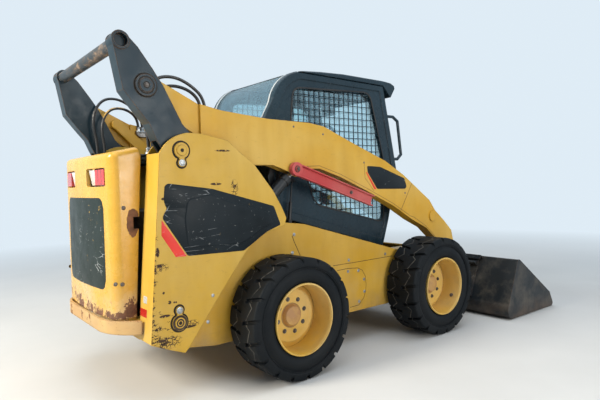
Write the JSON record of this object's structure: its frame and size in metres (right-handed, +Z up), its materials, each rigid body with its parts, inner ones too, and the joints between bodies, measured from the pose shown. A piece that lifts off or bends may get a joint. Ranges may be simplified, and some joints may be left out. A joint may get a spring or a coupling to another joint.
{
  "type": "skid_steer_loader",
  "caption": "Compact wheeled loader with paired lift arms on swinging links, caged driver's cab, low engine housing with rear door, and a wide bucket on a coupler.",
  "frame": {"origin": "middle of the bounding box on the ground", "axes": "+X forward to the bucket, +Y to the machine's left, +Z up"},
  "size_m": [4.174, 2.062, 2.137],
  "materials": {
    "yellow_paint": "satin",
    "frame_paint": "satin",
    "rim_paint": "satin",
    "link_paint": "satin",
    "cab_paint": "satin",
    "dark_paint": "satin",
    "bucket_paint": "matte",
    "engine_paint": "matte",
    "brace_paint": "satin",
    "rod_chrome": "polished",
    "bare_steel": "worn",
    "tinted_glass": "clear",
    "lamp_lens": "gloss",
    "seat_cover": "matte",
    "black_plastic": "matte",
    "tyre_rubber": "matte",
    "hose_rubber": "matte"
  },
  "bodies": {
    "frame": {"main_frame": "frame_paint", "towers": "yellow_paint", "boom_stops": "dark_paint", "axle_housings": "frame_paint", "rear_bumper": "yellow_paint", "engine_block": "engine_paint", "hood_frame": "yellow_paint", "cab_shell": "cab_paint", "cab_roof": "cab_paint", "cab_floor": "cab_paint", "cab_glass": "tinted_glass", "cab_screens": "dark_paint", "seat": "seat_cover", "controls": "black_plastic", "grab_handles": "dark_paint", "work_lamps": "lamp_lens", "cab_struts": "dark_paint", "hose_right_outer": "hose_rubber", "hose_right_inner": "hose_rubber", "hose_left_outer": "hose_rubber", "hose_left_inner": "hose_rubber"},
    "rear_door": {"rear_door": "yellow_paint", "tail_lamps": "lamp_lens"},
    "top_guard": {"top_guard": "dark_paint"},
    "rear_link": {"rear_links": "link_paint", "torque_tube": "link_paint"},
    "lift_arm": {"lift_arms": "yellow_paint", "arm_legs": "yellow_paint", "arm_member": "yellow_paint", "lock_brace": "brace_paint", "oil_tubes": "dark_paint"},
    "front_link": {"front_links": "dark_paint"},
    "lift_barrel": {"lift_barrels": "dark_paint"},
    "lift_rod": {"lift_rods": "rod_chrome"},
    "tilt_barrel": {"tilt_barrels": "dark_paint"},
    "tilt_rod": {"tilt_rods": "rod_chrome"},
    "bucket": {"coupler": "dark_paint", "bucket": "bucket_paint", "cutting_edge": "bare_steel"},
    "wheel_front_left": {"tyre_front_left": "tyre_rubber", "rim_front_left": "rim_paint"},
    "wheel_front_right": {"tyre_front_right": "tyre_rubber", "rim_front_right": "rim_paint"},
    "wheel_rear_left": {"tyre_rear_left": "tyre_rubber", "rim_rear_left": "rim_paint"},
    "wheel_rear_right": {"tyre_rear_right": "tyre_rubber", "rim_rear_right": "rim_paint"}
  },
  "joints": [
    {"name": "lift", "type": "hinge", "parent": "rear_link", "child": "lift_arm", "pos_m": [-1.881, 0, 1.847], "axis": [0, -1, 0], "range_deg": [0, 103], "deforming": ["hose_right_outer", "hose_right_inner", "hose_left_outer", "hose_left_inner"]},
    {"name": "rear_link_swing", "type": "hinge", "parent": "frame", "child": "rear_link", "pos_m": [-1.697, 0, 1.483], "axis": [0, -1, 0], "range_deg": [-52, 0]},
    {"name": "front_link_swing", "type": "hinge", "parent": "frame", "child": "front_link", "pos_m": [-1.019, 0, 1.17], "axis": [0, -1, 0], "range_deg": [-29.5, 0]},
    {"name": "lift_barrel_swing", "type": "hinge", "parent": "frame", "child": "lift_barrel", "pos_m": [-1.742, 0, 0.484], "axis": [0, -1, 0], "range_deg": [0, 13.6]},
    {"name": "lift_rod_slide", "type": "slide", "parent": "lift_barrel", "child": "lift_rod", "axis": [0.7225, 0, 0.6914], "range_m": [0, 1.075]},
    {"name": "tilt", "type": "hinge", "parent": "lift_arm", "child": "bucket", "pos_m": [1.131, 0, 0.22], "axis": [0, -1, 0], "range_deg": [-90, 20]},
    {"name": "tilt_barrel_swing", "type": "hinge", "parent": "lift_arm", "child": "tilt_barrel", "pos_m": [0.7, 0, 0.962], "axis": [0, -1, 0], "range_deg": [-7, 1.8]},
    {"name": "tilt_rod_slide", "type": "slide", "parent": "tilt_barrel", "child": "tilt_rod", "axis": [0.7065, 0, -0.7078], "range_m": [-0.08, 0.31]},
    {"name": "rear_door_swing", "type": "hinge", "parent": "frame", "child": "rear_door", "pos_m": [-1.944, 0.484, 0], "axis": [0, 0, -1], "range_deg": [0, 100]},
    {"name": "top_guard_swing", "type": "hinge", "parent": "frame", "child": "top_guard", "pos_m": [-1.064, 0, 1.464], "axis": [0, 1, 0], "range_deg": [0, 45]},
    {"name": "roll_front_left", "type": "hinge", "parent": "frame", "child": "wheel_front_left", "pos_m": [0.517, 0.732, 0.398], "axis": [0, 1, 0], "continuous": true},
    {"name": "roll_front_right", "type": "hinge", "parent": "frame", "child": "wheel_front_right", "pos_m": [0.517, -0.732, 0.398], "axis": [0, 1, 0], "continuous": true},
    {"name": "roll_rear_left", "type": "hinge", "parent": "frame", "child": "wheel_rear_left", "pos_m": [-0.969, 0.732, 0.398], "axis": [0, 1, 0], "continuous": true},
    {"name": "roll_rear_right", "type": "hinge", "parent": "frame", "child": "wheel_rear_right", "pos_m": [-0.969, -0.732, 0.398], "axis": [0, 1, 0], "continuous": true}
  ],
  "couplings": [
    {"joint": "rear_link_swing", "follows": "lift", "ratio": -0.5},
    {"joint": "front_link_swing", "follows": "lift", "ratio": -0.27982},
    {"joint": "lift_barrel_swing", "follows": "lift", "ratio": 0.12662},
    {"joint": "lift_rod_slide", "follows": "lift", "m_per_rad": 0.5907},
    {"joint": "tilt_barrel_swing", "follows": "tilt", "ratio": 0.06748},
    {"joint": "tilt_rod_slide", "follows": "tilt", "m_per_rad": -0.18958}
  ]
}
